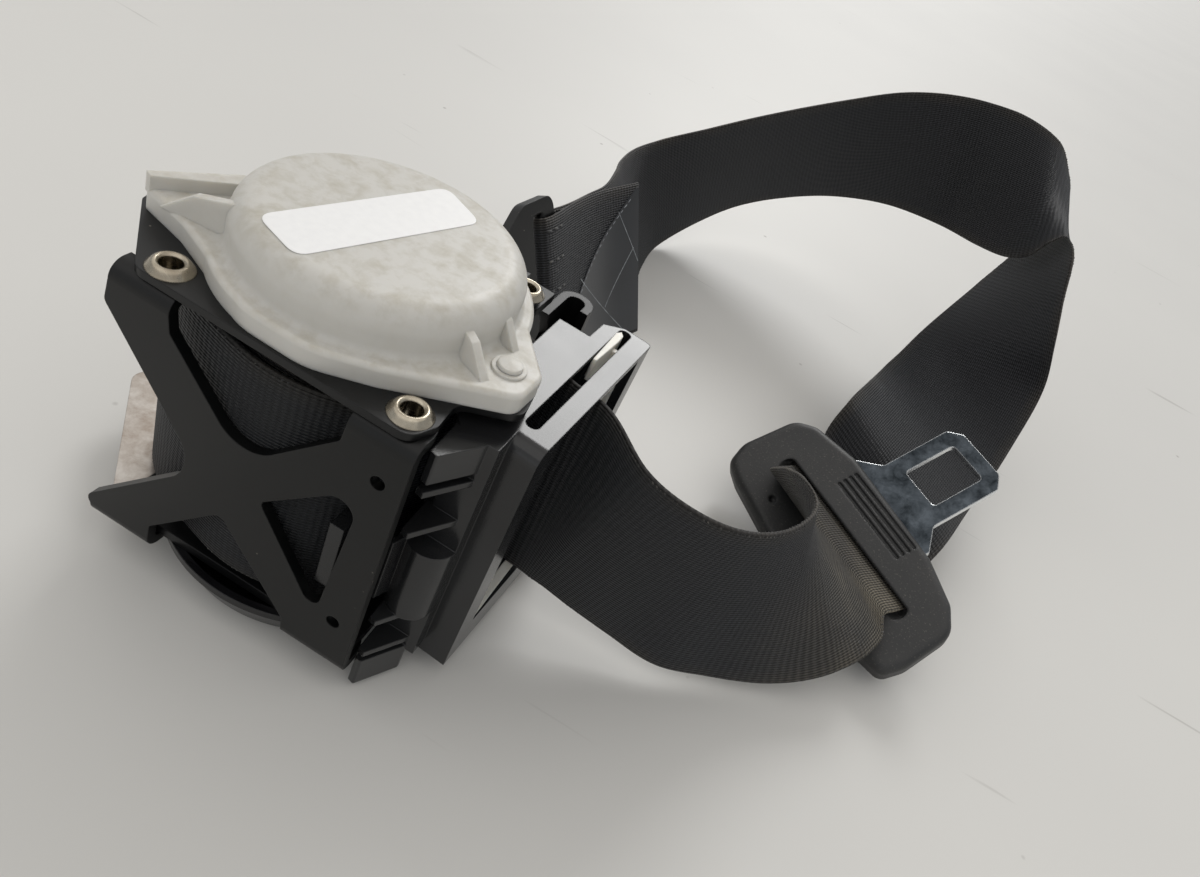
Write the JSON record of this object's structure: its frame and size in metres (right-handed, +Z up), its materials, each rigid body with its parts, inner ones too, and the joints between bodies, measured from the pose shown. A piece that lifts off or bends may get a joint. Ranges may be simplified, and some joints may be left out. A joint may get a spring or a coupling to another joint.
{
  "type": "seat belt retractor with webbing and tongue",
  "caption": "Emergency locking seat belt retractor with open sheet frame, webbing guide, looped black webbing, latch tongue and slotted lower anchor plate.",
  "frame": {"origin": "on the surface it stands on, under the spool axis, at the foot of the mechanism cover", "axes": "+Z up along the spool axis, +X the way the webbing leaves the guide, +Y away from the front plate"},
  "size_m": [0.1959, 0.2856, 0.0962],
  "materials": {
    "black_paint": "satin black coat on steel",
    "black_paint_top": "satin black coat on steel",
    "plated_sheet": "zinc plated steel",
    "rivet_nickel": "plated steel",
    "cover_plastic": "translucent natural plastic",
    "inner_plastic": "natural plastic",
    "spring_steel": "blued spring steel",
    "webbing": "black woven polyester webbing",
    "inner_steel": "bare steel",
    "bowl_plastic": "gloss black plastic",
    "guide_plastic": "dark grey moulded plastic",
    "liner_plastic": "white slippery plastic",
    "label_fabric": "dark grey satin label, blank",
    "latch_steel": "bright plated steel",
    "tongue_plastic": "textured black plastic"
  },
  "bodies": {
    "retractor": {"frame_front_plate": "black_paint", "frame_top_plate": "black_paint_top", "frame_bottom_plate": "plated_sheet", "frame_rear_plate": "black_paint", "top_rivets": "rivet_nickel", "bottom_rivets": "rivet_nickel", "spring_cover": "cover_plastic", "cover_pins": "cover_plastic", "spring_base": "inner_plastic", "power_spring": "spring_steel", "spool_bush_top": "inner_plastic", "spool_bush_bottom": "inner_plastic", "mechanism_cover": "bowl_plastic", "sensor_housing": "inner_plastic", "sensor_ball": "inner_steel", "webbing_guide": "guide_plastic", "guide_liner": "liner_plastic", "webbing_slack": "webbing", "webbing_payout": "webbing", "webbing_loop_out": "webbing", "webbing_loop_turn": "webbing", "webbing_loop_back": "webbing", "webbing_fold": "webbing", "webbing_flap": "webbing", "belt_label": "label_fabric", "anchor_plate": "plated_sheet"},
    "spool": {"spool": "inner_plastic", "webbing_roll": "webbing", "torsion_bar": "inner_steel", "pawl_pin": "inner_steel", "spring_arbor": "inner_plastic"},
    "inertia_disc": {"inertia_disc": "inner_plastic"},
    "lock_pawl": {"lock_pawl": "inner_steel"},
    "sensor_lever": {"sensor_lever": "inner_plastic"},
    "tongue": {"tongue_plate": "latch_steel", "tongue_cover": "tongue_plastic"}
  },
  "joints": [
    {"name": "spool_spin", "type": "hinge", "parent": "retractor", "child": "spool", "pos_m": [0, 0, 0.03], "axis": [0, 0, 1], "continuous": true},
    {"name": "disc_lag", "type": "hinge", "parent": "spool", "child": "inertia_disc", "pos_m": [0, 0, 0.0066], "axis": [0, 0, 1], "range_deg": [0, 10]},
    {"name": "pawl_swing", "type": "hinge", "parent": "spool", "child": "lock_pawl", "pos_m": [0.008, -0.0085, 0.0105], "axis": [0, 0, -1], "range_deg": [0, 10.5]},
    {"name": "lever_lift", "type": "hinge", "parent": "retractor", "child": "sensor_lever", "pos_m": [-0.01992, -0.00725, 0.00805], "axis": [0.342, -0.9397, 0], "range_deg": [0, 7]},
    {"name": "tongue_slide", "type": "slide", "parent": "retractor", "child": "tongue", "axis": [-0.5681, -0.8169, 0.0994], "range_m": [0, 0.004]}
  ],
  "couplings": [
    {"joint": "pawl_swing", "follows": "disc_lag", "ratio": 1.05}
  ]
}
